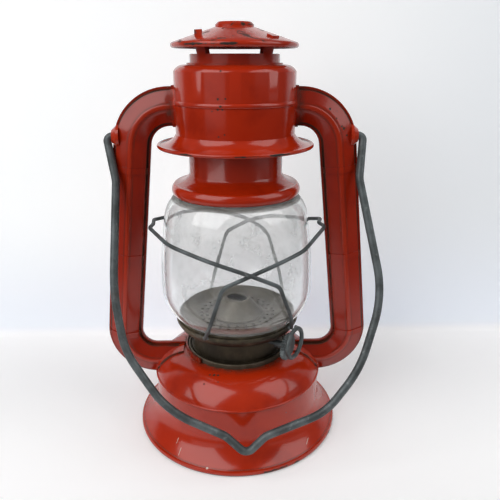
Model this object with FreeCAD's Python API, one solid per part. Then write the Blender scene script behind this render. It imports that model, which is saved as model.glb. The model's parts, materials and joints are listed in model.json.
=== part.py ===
import FreeCAD, Part
import math
import os

# Tubular kerosene lantern. Millimetres, +Z up, front at -Y, origin on the axis at the base.

# Sheet metal and running clearances
SHEET = 0.8
TUBE_SHEET = 0.7
GLASS = 1.8
RUN_FIT = 0.05
LOOSE_FIT = 0.3
SEAT_GAP = 0.25

# Fount: skirt, waist, shoulder and the land that carries the burner
BASE_R = 57.0
BASE_BEAD = 3.0
WAIST_R = 46.5
FLARE_R = 49.2
FLARE_Z = 9.6
WAIST_Z = 16.5
SEAM_Z = 31.4
SEAM_BEAD = 0.7
DOME_R = 41.4
DOME_Z = 39.8
LAND_R = 29.5
LAND_Z = 45.0
BURNER_HOLE_R = 21.0
BOTTOM_LIP = 5.0
LIP_WALL = 0.9
LIP_HEIGHT = 2.6
LIP_ARC = 80.0
LIP_TURN = 7.0

# Filler on the rear of the shoulder
FILLER_R = 6.5
FILLER_TILT = 36.0
FILLER_HEIGHT = 5.0
CAP_R = 8.4
CAP_SKIRT = 5.4
CAP_CROWN = 1.4
CAP_FLUTES = 24
CAP_FLUTE_R = 0.45
GASKET = 0.9

# Side tubes: centreline corners, bends and the pressed section
TUBE_TOP_X = 49.9
TUBE_TOP_Z = 178.0
TUBE_TOP_BEND = 19.5
TUBE_FOOT_X = 65.2
TUBE_FOOT_Z = 37.5
TUBE_FOOT_BEND = 17.5
TUBE_W = 15.6
TUBE_DEPTH = 6.3
TUBE_SIDE = 2.8
TUBE_RIDGE_W = 1.6
TUBE_LIP = 1.7
RIB_HEIGHTS = (54.0, 100.0, 147.0)
RIB_LENGTH = 3.2
RIB_RISE = 0.6
FERRULE_LENGTH = 1.4
FERRULE_RISE = 0.5
SADDLE_MARGIN = 3.0

# Canopy, chimney collar and hood
CANOPY_R = 29.8
CANOPY_TOP_Z = 197.5
CANOPY_TOP_R = 24.5
CANOPY_EDGE_Z = 194.4
CANOPY_NECK_Z = 165.0
CANOPY_BEAD_Z = 180.0
CANOPY_BEAD = 0.6
CANOPY_RIM_R = 39.0
CANOPY_RIM_Z = 159.9
CANOPY_EDGE_BULGE = 0.65
CANOPY_FLARE = 0.33
RIM_BEAD = 0.9
COLLAR_R = 21.7
COLLAR_HEIGHT = 4.7
COLLAR_FOOT = 1.6
LEG_COUNT = 4
LEG_W = 6.0
LEG_FLARE = 1.6
TAB_W = 4.4
TAB_RISE = 2.6
TAB_FLAP = 3.4
STANDING_TAB = 225.0
HOOD_R = 30.6
HOOD_RIM_Z = 204.8
HOOD_RIM_DEPTH = 2.6
HOOD_SLOPE_Z = 214.2
BUTTON_R = 9.2
BUTTON_RISE = 1.2
TOP_Z = 216.3

# Globe, its crown and the plate that carries them
GLOBE_R = 40.9
GLOBE_MAX_Z = 84.0
GLOBE_FOOT_R = 32.4
GLOBE_TOP_R = 30.8
GLOBE_TOP_Z = 139.0
GLOBE_SHOULDER = 3.3
GLOBE_SHOULDER_BELOW = 15.0
PLATE_R = 34.0
PLATE_Z = 65.8
PLATE_DEPTH = 7.2
PLATE_BULGE = 1.2
SEAT_STEP = 1.0
SEAT_RISE = 1.0
PLATE_FOOT_R = 25.4
AIR_RIM = 1.8
TRAY_R = 22.4
TRAY_DEPTH = 3.4
AIR_HOLE_R = 1.0
AIR_ROW_R = (20.4, 17.4)
AIR_ROW_HOLES = (28, 24)
CONE_R = 15.2
CONE_HEIGHT = 9.4
CONE_TOP_R = 6.8
SLOT_LENGTH = 11.6
SLOT_W = 8.2
CROWN_LIP = 2.3
CROWN_LIP_BELOW = 4.0
CROWN_FLARE = (0.3, 0.42)
CROWN_R = 23.7
CROWN_NECK_Z = 145.4
CROWN_TOP_Z = 175.0
CROWN_SHEET = 0.7

# Burner on the fount's land, turned so that the wick shaft points right and a little to the front
BURNER_TURN = -32.0
BURNER_R = 24.8
BURNER_FLANGE_R = 26.2
BURNER_FLANGE = 1.2
BURNER_RING_R = 28.0
BURNER_RING = 1.0
BURNER_BEAD_W = 1.3
BURNER_BEAD = 1.9
BURNER_TOP_R = 20.0
WICK_W = 9.5
WICK_T = 2.0
WICK_TOP_Z = 72.6
WICK_FOOT_Z = 26.0
WICK_TUBE_TOP_Z = 71.4
WICK_TUBE_FOOT_Z = 40.0
WICK_TUBE_WALL = 0.5
SHAFT_R = 1.2
SHAFT_Z = 56.2
SHAFT_OFFSET = 6.2
SHAFT_TAIL = 6.0
SPROCKET_T = 0.8
SPROCKET_SPIKES = 10
SPROCKET_ROOT = 1.4
WHEEL_R = 7.25
WHEEL_T = 2.0
WHEEL_TEETH = 26
WHEEL_TOOTH = 0.8
WHEEL_HUB_R = 2.0
WHEEL_HUB_LENGTH = 6.0

# Guard wires crossing over the globe, and the finger ring at one foot
GUARD_WIRE_R = 1.0
GUARD_STANDOFF = 1.4
GUARD_BEND_Z = 98.4
GUARD_CROSS_Z = 105.0
GUARD_HOOK_Z = 117.6
GUARD_CROSS_AZ = -79.6
GUARD_FOOT_AZ = (-118.0, -35.4)
GUARD_BEND_AZ = (-99.0, -64.0)
GUARD_CROSS_GAP = 0.9
GUARD_SIDE_AZ = (-140.0, -40.0)
GUARD_SIDE_Z = (115.0, 111.6)
GUARD_HOOK_Y = 7.5
GUARD_HOOK_DRAWN = (1.3, 0.0)
GUARD_MID = 0.36
GUARD_MID_TURN = 0.52
GUARD_FOOT_BELOW = 0.4
GUARD_BENDS = (20.0, 7.0, 25.0, 40.0, 26.0, 5.0)
GUARD_NOTCH_BEND = 4.0
LIFT = 10.0
RING_R = 7.8
RING_WIRE_R = 1.1
RING_AZ = -34.0
RING_ANGLE = 61.0
RING_STANDOFF = 5.2
RING_BEND = 2.4
RING_SIDES = 6
RING_ROUND = 0.95

# Bail, hooked into the tubes and hanging in front of them. Its corners are across, along, bend radius
BAIL_WIRE_R = 2.0
BAIL_PIVOT_Z = 163.5
BAIL_LEAN = 22.0
BAIL_PIN = 5.0
BAIL_BEND = 2.4
EAR_R = 3.3
EAR_FOOT_R = 5.6
EAR_SEAT = 1.4
EAR_PROUD = 0.8
BAIL_LEFT = ((-59.9, 22.5, 14.0), (-61.2, 78.0, 110.0), (-55.6, 107.0, 42.0), (-35.0, 136.6, 48.0),
             (-6.2, 149.4, 12.0))
BAIL_NOTCH = (4.0, 158.4, 4.4)
BAIL_RIGHT = ((13.4, 149.8, 10.0), (43.5, 138.6, 32.0), (61.0, 117.5, 60.0), (73.2, 81.0, 58.0),
              (62.4, 22.0, 15.0))

# Sizes that follow from those above
V = FreeCAD.Vector
ORIGIN = V(0, 0, 0)
X_AXIS = V(1, 0, 0)
Z_AXIS = V(0, 0, 1)
WALL_R = WAIST_R - SHEET
BURNER_FOOT_Z = LAND_Z + BURNER_RING
PLATE_FOOT_Z = PLATE_Z - PLATE_DEPTH
BURNER_TOP_Z = PLATE_FOOT_Z - LOOSE_FIT
SEAT_R = PLATE_R - SEAT_STEP
SEAT_Z = PLATE_Z + SEAT_RISE
AIR_PLATE_R = GLOBE_FOOT_R - GLASS - LOOSE_FIT
AIR_PLATE_Z = SEAT_Z + AIR_RIM
TRAY_Z = AIR_PLATE_Z - TRAY_DEPTH
CONE_TOP_Z = TRAY_Z + CONE_HEIGHT
GUARD_R = GLOBE_R + GUARD_WIRE_R + GUARD_STANDOFF
FOOT_R = PLATE_R + GUARD_WIRE_R + SEAT_GAP
FOOT_Z = PLATE_Z - GUARD_FOOT_BELOW
CROWN_LIP_R = GLOBE_TOP_R + CROWN_LIP
CROWN_SEAT_Z = GLOBE_TOP_Z
TUBE_END_X = CANOPY_R - TUBE_W / 2
SPROCKET_R = SHAFT_OFFSET - WICK_T / 2 - LOOSE_FIT
WHEEL_X = PLATE_R + LOOSE_FIT + WHEEL_T / 2


def polar(radius, azimuth, height):
    """Point at a radius and an azimuth in degrees, counted from +X towards +Y."""
    angle = math.radians(azimuth)
    return V(radius * math.cos(angle), radius * math.sin(angle), height)


def profile(start, moves):
    """Open wire in the XZ plane: a point draws a line, a pair of points an arc through the first."""
    edges = []
    here = V(start[0], 0, start[1])
    for move in moves:
        if isinstance(move[0], tuple):
            middle = V(move[0][0], 0, move[0][1])
            end = V(move[1][0], 0, move[1][1])
            edges.append(Part.Arc(here, middle, end).toShape())
        else:
            end = V(move[0], 0, move[1])
            edges.append(Part.LineSegment(here, end).toShape())
        here = end
    return Part.Wire(edges)


def turned(start, moves):
    """Solid of revolution about Z from a closed outline."""
    face = Part.Face(profile(start, tuple(moves) + (start,)))
    return face.revolve(ORIGIN, Z_AXIS, 360)


def turned_sheet(start, moves, thickness):
    """Sheet of revolution: the outline is one skin, the thickness lies on its left going along it."""
    face = profile(start, moves).makeOffset2D(thickness, 2, True, True).Faces[0]
    return face.revolve(ORIGIN, Z_AXIS, 360)


def ring(inner, outer, low, high):
    """Flat ring or short tube about Z."""
    body = Part.makeCylinder(outer, high - low, V(0, 0, low))
    return body.cut(Part.makeCylinder(inner, high - low, V(0, 0, low)))


def joined(first, *others):
    """One solid from touching solids, with the seams between them removed."""
    return first.fuse(list(others)).removeSplitter().Solids[0]


def spun(shape, angle):
    """Copy of a shape turned about Z."""
    copy = shape.copy()
    copy.rotate(ORIGIN, Z_AXIS, angle)
    return copy


def mirrored(shape):
    """Copy of a shape on the other side of the lantern, left for right."""
    return shape.mirror(ORIGIN, X_AXIS)


def bent_path(points, radii):
    """Straight runs joined by tangent arcs: each inner point has its bend radius."""
    edges = []
    here = points[0]
    for corner, before, after, radius in zip(points[1:-1], points[:-2], points[2:], radii):
        back = (before - corner).normalize()
        ahead = (after - corner).normalize()
        half_turn = (math.pi - back.getAngle(ahead)) / 2
        reach = radius * math.tan(half_turn)
        start = corner + back * reach
        end = corner + ahead * reach
        centre = corner + (back + ahead).normalize() * (radius / math.cos(half_turn))
        middle = centre + (corner - centre).normalize() * radius
        edges.append(Part.LineSegment(here, start).toShape())
        edges.append(Part.Arc(start, middle, end).toShape())
        here = end
    edges.append(Part.LineSegment(here, points[-1]).toShape())
    return Part.Wire(edges)


def rod(points, radii, wire_r):
    """Round wire bent along a path."""
    path = bent_path(points, radii)
    end = Part.Wire(Part.makeCircle(wire_r, points[0], points[1] - points[0]))
    return path.makePipeShell([end], True, False)


# Fount


def skirt():
    """Flared skirt up to the waist, with a rolled edge that has a flat underside."""
    wall = turned_sheet(
        (BASE_R - SHEET / 2, BASE_BEAD - SHEET / 2),
        (((FLARE_R, FLARE_Z), (WAIST_R, WAIST_Z)), (WAIST_R, SEAM_Z)), SHEET)
    bead = turned(
        (BASE_R - BASE_BEAD, 0),
        ((BASE_R - BASE_BEAD / 3, 0), ((BASE_R, BASE_BEAD / 2), (BASE_R - SHEET / 2, BASE_BEAD)),
         (BASE_R - BASE_BEAD, BASE_BEAD)))
    return joined(wall, bead)


def dome_outline():
    """Outer skin of the shoulder from the seam up to the land."""
    return (WAIST_R, SEAM_Z), ((WAIST_R, SEAM_Z + 2 * SEAM_BEAD), ((DOME_R, DOME_Z), (LAND_R, LAND_Z)))


def dome_block(grow=0.0):
    """Solid under the shoulder's skin, for trimming what stands on it."""
    start, (edge, (middle, end)) = dome_outline()
    return turned(
        (start[0] + grow, edge[1]),
        (((middle[0] + grow, middle[1] + grow), (end[0], end[1] + grow)), (0, end[1] + grow),
         (0, start[1] - TUBE_W), (start[0] + grow, start[1] - TUBE_W)))


def seam_bead():
    """Half-round bead along the shoulder's lower edge."""
    return turned((WALL_R, SEAM_Z), (
        (WAIST_R, SEAM_Z), ((WAIST_R + SEAM_BEAD, SEAM_Z + SEAM_BEAD), (WAIST_R, SEAM_Z + 2 * SEAM_BEAD)),
        (WALL_R, SEAM_Z + 2 * SEAM_BEAD)))


def bayonet_lips():
    """Two upright lips on the land that the burner locks under, with gaps between them."""
    wall = ring(LAND_R - LIP_WALL, LAND_R, LAND_Z - SHEET / 2, LAND_Z + LIP_HEIGHT)
    half_turn = 180.0
    gap = half_turn - LIP_ARC
    for side in (0, half_turn):
        wedge = Part.makeCylinder(LAND_R * 2, LIP_HEIGHT * 2, V(0, 0, LAND_Z), Z_AXIS, gap)
        wall = wall.cut(spun(wedge, -90 + LIP_TURN - gap / 2 + side))
    return wall


def shoulder():
    """Domed shoulder with its seam bead, the burner's lips and the filler's hole."""
    start, moves = dome_outline()
    dome = turned_sheet(start, moves + ((BURNER_HOLE_R, LAND_Z),), SHEET)
    hole = filler_placed(Part.makeCylinder(FILLER_R, 4 * FILLER_HEIGHT, V(0, 0, -2 * FILLER_HEIGHT)))
    return joined(dome, seam_bead(), bayonet_lips()).cut(hole)


def fount_bottom():
    """Pressed bottom of the fount, its edge turned up against the waist wall."""
    floor = WAIST_Z + SHEET
    return turned_sheet((0, floor), ((WALL_R, floor), (WALL_R, WAIST_Z + BOTTOM_LIP)), SHEET)


def filler_placed(shape):
    """Moves a shape from the filler's own axis to the rear of the shoulder."""
    copy = shape.copy()
    copy.rotate(ORIGIN, X_AXIS, -FILLER_TILT)
    copy.translate(V(0, DOME_R, DOME_Z))
    return copy


def filler_neck():
    """Short neck standing on the shoulder, down through the hole to the inside of the sheet."""
    return filler_placed(ring(FILLER_R - SHEET, FILLER_R, -4 * SHEET, FILLER_HEIGHT))


def cap_gasket():
    """Cork washer between the cap and the neck."""
    return filler_placed(Part.makeCylinder(FILLER_R, GASKET, V(0, 0, FILLER_HEIGHT)))


def filler_cap():
    """Screw cap with a crowned top and a fluted edge."""
    under = FILLER_HEIGHT + GASKET
    top = under + SHEET
    low = top - CAP_SKIRT
    bore = FILLER_R + LOOSE_FIT
    cap = turned((bore, low), (
        (CAP_R, low), (CAP_R, top), (CAP_R - 2 * CAP_CROWN, top + CAP_CROWN), (0, top + CAP_CROWN),
        (0, under), (bore, under)))
    flutes = []
    for index in range(CAP_FLUTES):
        spot = polar(CAP_R, 360.0 * (index + 0.5) / CAP_FLUTES, low - SHEET)
        flutes.append(Part.makeCylinder(CAP_FLUTE_R, CAP_SKIRT, spot))
    return filler_placed(cap.cut(flutes))


# Side tubes


def tube_points():
    """Corners of a tube's centreline on the right: canopy, top bend, foot bend, fount."""
    return (V(TUBE_END_X, 0, TUBE_TOP_Z), V(TUBE_TOP_X, 0, TUBE_TOP_Z),
            V(TUBE_FOOT_X, 0, TUBE_FOOT_Z), V(LAND_R, 0, TUBE_FOOT_Z))


def half_section(grow=0.0):
    """Outer skin of one pressed half as across, depth pairs from lip to lip."""
    side = TUBE_W / 2 + grow
    edge = TUBE_SIDE + grow / 2
    ridge = TUBE_RIDGE_W / 2
    deep = TUBE_DEPTH + grow
    return ((side, 0), (side, edge), (ridge, deep), (-ridge, deep), (-side, edge), (-side, 0))


def section_wire(pairs, spot, across, depth):
    """Closed wire from across, depth pairs at a spot on the centreline."""
    points = [spot + across * pair[0] + depth * pair[1] for pair in pairs]
    return Part.makePolygon(points + points[:1])


def channel(grow_in, grow_out):
    """Closed outline of a pressed channel between two skins, without lips."""
    return half_section(grow_out) + tuple(reversed(half_section(grow_in)))


def channel_with_lips():
    """Closed outline of a pressed half with its two seam lips."""
    skin = half_section()
    tip = TUBE_W / 2 + TUBE_LIP
    wall = TUBE_W / 2
    outer = ((tip, 0), (tip, TUBE_SHEET), (wall, TUBE_SHEET)) + skin[1:-1]
    outer += ((-wall, TUBE_SHEET), (-tip, TUBE_SHEET), (-tip, 0))
    return outer + tuple(reversed(half_section(-TUBE_SHEET)))


def full_section(grow):
    """Outline of both halves with their lips, grown all round."""
    half = half_section(grow)
    tip = TUBE_W / 2 + TUBE_LIP + grow
    lip = TUBE_SHEET + grow
    front = ((tip, 0), (tip, lip), (TUBE_W / 2 + grow, lip)) + half[1:-1]
    front += ((-TUBE_W / 2 - grow, lip), (-tip, lip), (-tip, 0))
    rear = tuple((across, -depth) for across, depth in reversed(front[1:-1]))
    return front + rear


def tube_leg_spot(height):
    """Point of the straight leg at a height, and its direction down."""
    top = V(TUBE_TOP_X, 0, TUBE_TOP_Z)
    foot = V(TUBE_FOOT_X, 0, TUBE_FOOT_Z)
    share = (TUBE_TOP_Z - height) / (TUBE_TOP_Z - TUBE_FOOT_Z)
    return top + (foot - top) * share, (foot - top).normalize()


def tube_half(depth):
    """One pressed half of the right tube, with its cross ribs; depth points to its side."""
    points = tube_points()
    path = bent_path(points, (TUBE_TOP_BEND, TUBE_FOOT_BEND))
    start = section_wire(channel_with_lips(), points[0], Z_AXIS, depth)
    half = path.makePipeShell([start], True, False)
    ribs = []
    for height in RIB_HEIGHTS:
        spot, down = tube_leg_spot(height)
        across = down.cross(V(0, -1, 0))
        low = spot - down * (RIB_LENGTH / 2)
        outline = section_wire(channel(-TUBE_SHEET / 2, RIB_RISE), low, across, depth)
        ribs.append(Part.Face(outline).extrude(down * RIB_LENGTH))
    return joined(half, *ribs).cut([dome_block(), seam_bead(), canopy_block(), bail_hole()])


def tube_block():
    """Solid filling the right tube's outside, for trimming what is fitted round it."""
    points = tube_points()
    path = bent_path(points, (TUBE_TOP_BEND, TUBE_FOOT_BEND))
    start = section_wire(full_section(0.0), points[0], Z_AXIS, V(0, -1, 0))
    return path.makePipeShell([start], True, False)


def tube_ferrule(block):
    """Band round the tube where it enters the canopy."""
    spot = V(TUBE_END_X, 0, TUBE_TOP_Z)
    reach = CANOPY_R + FERRULE_LENGTH - spot.x
    outline = section_wire(full_section(FERRULE_RISE), spot, Z_AXIS, V(0, -1, 0))
    return Part.Face(outline).extrude(X_AXIS * reach).cut([block, canopy_block()])


def tube_saddle(block):
    """Thin plate lying on the shoulder round the tube's foot."""
    shell = dome_block(SHEET).cut(dome_block())
    wide = TUBE_DEPTH + SADDLE_MARGIN
    tall = TUBE_W / 2 + TUBE_LIP + SADDLE_MARGIN
    low = max(TUBE_FOOT_Z - tall, SEAM_Z + 2 * SEAM_BEAD)
    window = Part.makeBox(
        WAIST_R, 2 * wide, TUBE_FOOT_Z + tall - low, V(LAND_R + LIP_WALL, -wide, low))
    window = window.makeFillet(SADDLE_MARGIN, [
        edge for edge in window.Edges if abs(edge.tangentAt(edge.FirstParameter).x) > 0.5])
    return shell.common(window).cut(block)


def tube_side_x(reach):
    """Across position of the tube's outer side at the bail's pivot, a reach from the centreline."""
    span = TUBE_TOP_BEND + reach
    rise = BAIL_PIVOT_Z - (TUBE_TOP_Z - TUBE_TOP_BEND)
    turn = math.atan2(TUBE_TOP_Z - TUBE_FOOT_Z, TUBE_FOOT_X - TUBE_TOP_X)
    centre = TUBE_TOP_X - TUBE_TOP_BEND * math.tan(turn / 2)
    return centre + math.sqrt(span * span - rise * rise)


def bail_ear_face():
    """Across position of the ear's outer face."""
    return tube_side_x(TUBE_W / 2 + TUBE_LIP) + EAR_PROUD


def bail_hole():
    """Hole for the bail's pin through the tube's outer wall and the ear."""
    inside = bail_ear_face() - BAIL_PIN - TUBE_LIP - EAR_PROUD
    return Part.makeCylinder(BAIL_WIRE_R + RUN_FIT, EAR_R * 3, V(inside, 0, BAIL_PIVOT_Z), X_AXIS)


def bail_ear(block):
    """Tapered eyelet on the tube's outer side that carries the bail's pin."""
    side = tube_side_x(TUBE_W / 2)
    foot = Part.makeCylinder(EAR_FOOT_R, EAR_SEAT, V(side - EAR_SEAT, 0, BAIL_PIVOT_Z), X_AXIS)
    boss = Part.makeCone(EAR_FOOT_R, EAR_R, bail_ear_face() - side, V(side, 0, BAIL_PIVOT_Z), X_AXIS)
    return joined(foot, boss).cut([block, bail_hole()])


# Canopy, chimney collar and hood


def canopy_outline():
    """Outer skin of the canopy from its top edge down to the flared rim."""
    edge_mid = ((CANOPY_TOP_R + CANOPY_R) / 2 + CANOPY_EDGE_BULGE,
                (CANOPY_TOP_Z + CANOPY_EDGE_Z) / 2 + CANOPY_EDGE_BULGE)
    flare_mid = (CANOPY_R + (CANOPY_RIM_R - CANOPY_R) * CANOPY_FLARE,
                 CANOPY_RIM_Z + (CANOPY_NECK_Z - CANOPY_RIM_Z) * CANOPY_FLARE)
    return (CANOPY_TOP_R, CANOPY_TOP_Z), (
        (edge_mid, (CANOPY_R, CANOPY_EDGE_Z)), (CANOPY_R, CANOPY_NECK_Z),
        (flare_mid, (CANOPY_RIM_R, CANOPY_RIM_Z)))


def canopy_bead():
    """Raised bead round the middle of the canopy."""
    low = CANOPY_BEAD_Z - 2 * CANOPY_BEAD
    high = CANOPY_BEAD_Z + 2 * CANOPY_BEAD
    return turned((CANOPY_R - SHEET / 2, low), (
        (CANOPY_R, low), ((CANOPY_R + CANOPY_BEAD, CANOPY_BEAD_Z), (CANOPY_R, high)),
        (CANOPY_R - SHEET / 2, high)))


def canopy_block():
    """Solid filling the canopy with its bead, for trimming what meets its side."""
    start, moves = canopy_outline()
    drum = turned(start, moves[:2] + ((0, CANOPY_NECK_Z), (0, CANOPY_TOP_Z)))
    return joined(drum, canopy_bead())


def canopy(tubes):
    """Drum with a flared rim, a raised bead, a chimney opening and a hole for each tube."""
    start, moves = canopy_outline()
    drum = turned_sheet((COLLAR_R - SHEET, CANOPY_TOP_Z), (start,) + moves, -SHEET)
    rim = Part.makeTorus(CANOPY_RIM_R - SHEET / 2, RIM_BEAD, V(0, 0, CANOPY_RIM_Z - SHEET / 2))
    return joined(drum, canopy_bead(), rim).cut(tubes)


def tube_bores():
    """Openings through the canopy's wall at the ends of both tubes."""
    spot = V(CANOPY_R / 2, 0, TUBE_TOP_Z)
    inside = half_section(-TUBE_SHEET)
    whole = inside + tuple((across, -depth) for across, depth in reversed(inside))
    bore = Part.Face(section_wire(whole, spot, Z_AXIS, V(0, -1, 0))).extrude(X_AXIS * CANOPY_R)
    return [bore, mirrored(bore)]


def leg_angles():
    """Azimuth of each leg of the chimney collar."""
    return [360.0 / LEG_COUNT * (index + 0.5) for index in range(LEG_COUNT)]


def hood_skin_z(radius):
    """Height of the hood's upper skin on its straight slope."""
    share = (radius - BUTTON_R) / (HOOD_R - SHEET - BUTTON_R)
    return HOOD_SLOPE_Z + (HOOD_RIM_Z + HOOD_RIM_DEPTH - HOOD_SLOPE_Z) * share


def hood_tab_r():
    """Radius at which the legs' tabs pass through the hood."""
    return COLLAR_R + LEG_FLARE - SHEET / 2


def chimney_collar():
    """Vent collar on the canopy whose flared legs hold the hood by tabs bent over its top."""
    foot = CANOPY_TOP_Z + SHEET
    rise = CANOPY_TOP_Z + COLLAR_HEIGHT
    wall = turned_sheet(
        (COLLAR_R + COLLAR_FOOT, foot),
        ((COLLAR_R, foot), (COLLAR_R, rise), (COLLAR_R + LEG_FLARE, leg_top_z())), SHEET)
    span = 360.0 / LEG_COUNT
    leg = math.degrees(LEG_W / COLLAR_R)
    windows = []
    for angle in leg_angles():
        window = Part.makeCylinder(COLLAR_R * 2, COLLAR_R, V(0, 0, rise), Z_AXIS, span - leg)
        windows.append(spun(window, angle + leg / 2))
    tabs = [spun(hood_tab(angle), angle) for angle in leg_angles()]
    return joined(wall.cut(windows), *tabs)


def leg_top_z():
    """Height of the legs' shoulders, just under the hood."""
    return hood_skin_z(COLLAR_R + LEG_FLARE) - SHEET - LOOSE_FIT


def tab_post(rise, grow):
    """Upright part of a leg's tab to a rise above the hood, or with room round it the hood's slot."""
    low = leg_top_z() - 2 * SHEET
    height = hood_skin_z(hood_tab_r()) + rise - low
    return Part.makeBox(
        SHEET + 2 * grow, TAB_W + 2 * grow, height,
        V(hood_tab_r() - SHEET / 2 - grow, -TAB_W / 2 - grow, low))


def hood_tab(angle):
    """Tab of one leg through the hood, standing up at the front left and folded down elsewhere."""
    if angle == STANDING_TAB:
        return tab_post(TAB_RISE, 0)
    post = tab_post(SHEET / 2, 0)
    box = post.BoundBox
    inner = box.XMin
    outer = box.XMin + TAB_FLAP
    low = RUN_FIT
    high = RUN_FIT + SHEET
    corners = [
        V(radius, box.YMin, hood_skin_z(radius) + lift)
        for radius, lift in ((inner, low), (outer, low), (outer, high), (inner, high), (inner, low))]
    flap = Part.Face(Part.makePolygon(corners)).extrude(V(0, TAB_W, 0))
    return joined(post, flap)


def hood():
    """Shallow cap with a rolled rim and a raised button, slotted for the collar's tabs."""
    rim_top = HOOD_RIM_Z + HOOD_RIM_DEPTH
    sheet = turned_sheet(
        (0, TOP_Z),
        ((BUTTON_R - BUTTON_RISE, TOP_Z), (BUTTON_R, TOP_Z - BUTTON_RISE), (BUTTON_R, HOOD_SLOPE_Z),
         (HOOD_R - SHEET, rim_top)), -SHEET)
    rim = turned((HOOD_R - 2 * SHEET, HOOD_RIM_Z), (
        (HOOD_R - SHEET, HOOD_RIM_Z), ((HOOD_R, HOOD_RIM_Z + HOOD_RIM_DEPTH / 2), (HOOD_R - SHEET, rim_top)),
        (HOOD_R - 2 * SHEET, rim_top)))
    slots = [spun(tab_post(TAB_RISE, RUN_FIT), angle) for angle in leg_angles()]
    return joined(sheet, rim).cut(slots)


# Globe carriage


def arc_middle(start, lean, end):
    """Middle of the arc that leaves a point at a lean inwards from the upright and ends at another."""
    inward = (-math.cos(lean), -math.sin(lean))
    chord = (end[0] - start[0], end[1] - start[1])
    radius = (chord[0] ** 2 + chord[1] ** 2) / (2 * (chord[0] * inward[0] + chord[1] * inward[1]))
    centre = (start[0] + inward[0] * radius, start[1] + inward[1] * radius)
    half = ((start[0] + end[0]) / 2 - centre[0], (start[1] + end[1]) / 2 - centre[1])
    share = radius / math.hypot(*half)
    return centre[0] + half[0] * share, centre[1] + half[1] * share


def globe_outline(inset):
    """Outer or inner skin of the glass, from the foot up to the top edge, as tangent arcs."""
    low = (GLOBE_FOOT_R, SEAT_Z)
    belly = (GLOBE_R, GLOBE_MAX_Z)
    rim = (GLOBE_TOP_R, GLOBE_TOP_Z - CROWN_LIP_BELOW - LOOSE_FIT)
    shoulder = (GLOBE_R - GLOBE_SHOULDER, GLOBE_TOP_Z - GLOBE_SHOULDER_BELOW)
    lean = 2 * math.atan2(GLOBE_SHOULDER, shoulder[1] - GLOBE_MAX_Z)
    top = (GLOBE_TOP_R, GLOBE_TOP_Z)
    skin = (low, arc_middle(belly, 0, low), belly, arc_middle(belly, 0, shoulder), shoulder,
            arc_middle(shoulder, lean, rim), rim, top)
    return [(radius - inset, height) for radius, height in skin]


def globe():
    """Bulged clear glass with a straight rim, open at the foot and the top."""
    low, waist, belly, side, shoulder, neck, rim, top = globe_outline(0)
    low_in, waist_in, belly_in, side_in, shoulder_in, neck_in, rim_in, top_in = globe_outline(GLASS)
    return turned(low, (
        (waist, belly), (side, shoulder), (neck, rim), top, top_in, rim_in, (neck_in, shoulder_in),
        (side_in, belly_in), (waist_in, low_in)))


def globe_plate():
    """Dished plate with a rolled rim and a raised seat inside it for the globe's foot."""
    inner = AIR_PLATE_R - 2 * SHEET
    rim_low = PLATE_Z - 2 * SHEET
    bowl_mid = ((PLATE_FOOT_R + PLATE_R) / 2 + PLATE_BULGE, (PLATE_FOOT_Z + rim_low) / 2 - PLATE_BULGE)
    return turned((PLATE_FOOT_R - 2 * SHEET, PLATE_FOOT_Z), (
        (PLATE_FOOT_R, PLATE_FOOT_Z), (bowl_mid, (PLATE_R, rim_low)), (PLATE_R, PLATE_Z - SHEET / 2),
        ((PLATE_R - SHEET / 2, PLATE_Z), (PLATE_R - SHEET, PLATE_Z - SHEET / 2)),
        (SEAT_R, PLATE_Z - SHEET / 2), (SEAT_R, SEAT_Z), (inner, SEAT_Z), (inner, SEAT_Z - SHEET),
        (SEAT_R - SHEET, SEAT_Z - SHEET), (SEAT_R - SHEET, rim_low),
        (PLATE_FOOT_R - 2 * SHEET, PLATE_FOOT_Z + SHEET)))


def air_plate():
    """Dished tray inside the globe's foot with two rows of holes, standing on the seat."""
    plate = turned_sheet(
        (AIR_PLATE_R, SEAT_Z),
        ((AIR_PLATE_R, AIR_PLATE_Z), (AIR_PLATE_R - SHEET, AIR_PLATE_Z), (TRAY_R, TRAY_Z),
         (CONE_R - 3 * SHEET, TRAY_Z)), SHEET)
    holes = []
    for radius, count in zip(AIR_ROW_R, AIR_ROW_HOLES):
        for index in range(count):
            spot = polar(radius, 360.0 * index / count, TRAY_Z - 2 * SHEET)
            holes.append(Part.makeCylinder(AIR_HOLE_R, 4 * SHEET, spot))
    return plate.cut(holes)


def burner_cone():
    """Bell over the wick with a wide oval mouth for the flame."""
    middle = ((CONE_R + CONE_TOP_R) / 2 - SHEET, (TRAY_Z + CONE_TOP_Z) / 2 + SHEET)
    bell = turned_sheet(
        (CONE_R, TRAY_Z + SHEET),
        ((CONE_R - SHEET, TRAY_Z + SHEET), (middle, (CONE_TOP_R, CONE_TOP_Z)), (0, CONE_TOP_Z)), SHEET)
    return bell.cut(burner_placed(flat_bar(SLOT_LENGTH, SLOT_W, TRAY_Z + SHEET, CONE_TOP_Z + SHEET)))


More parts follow.
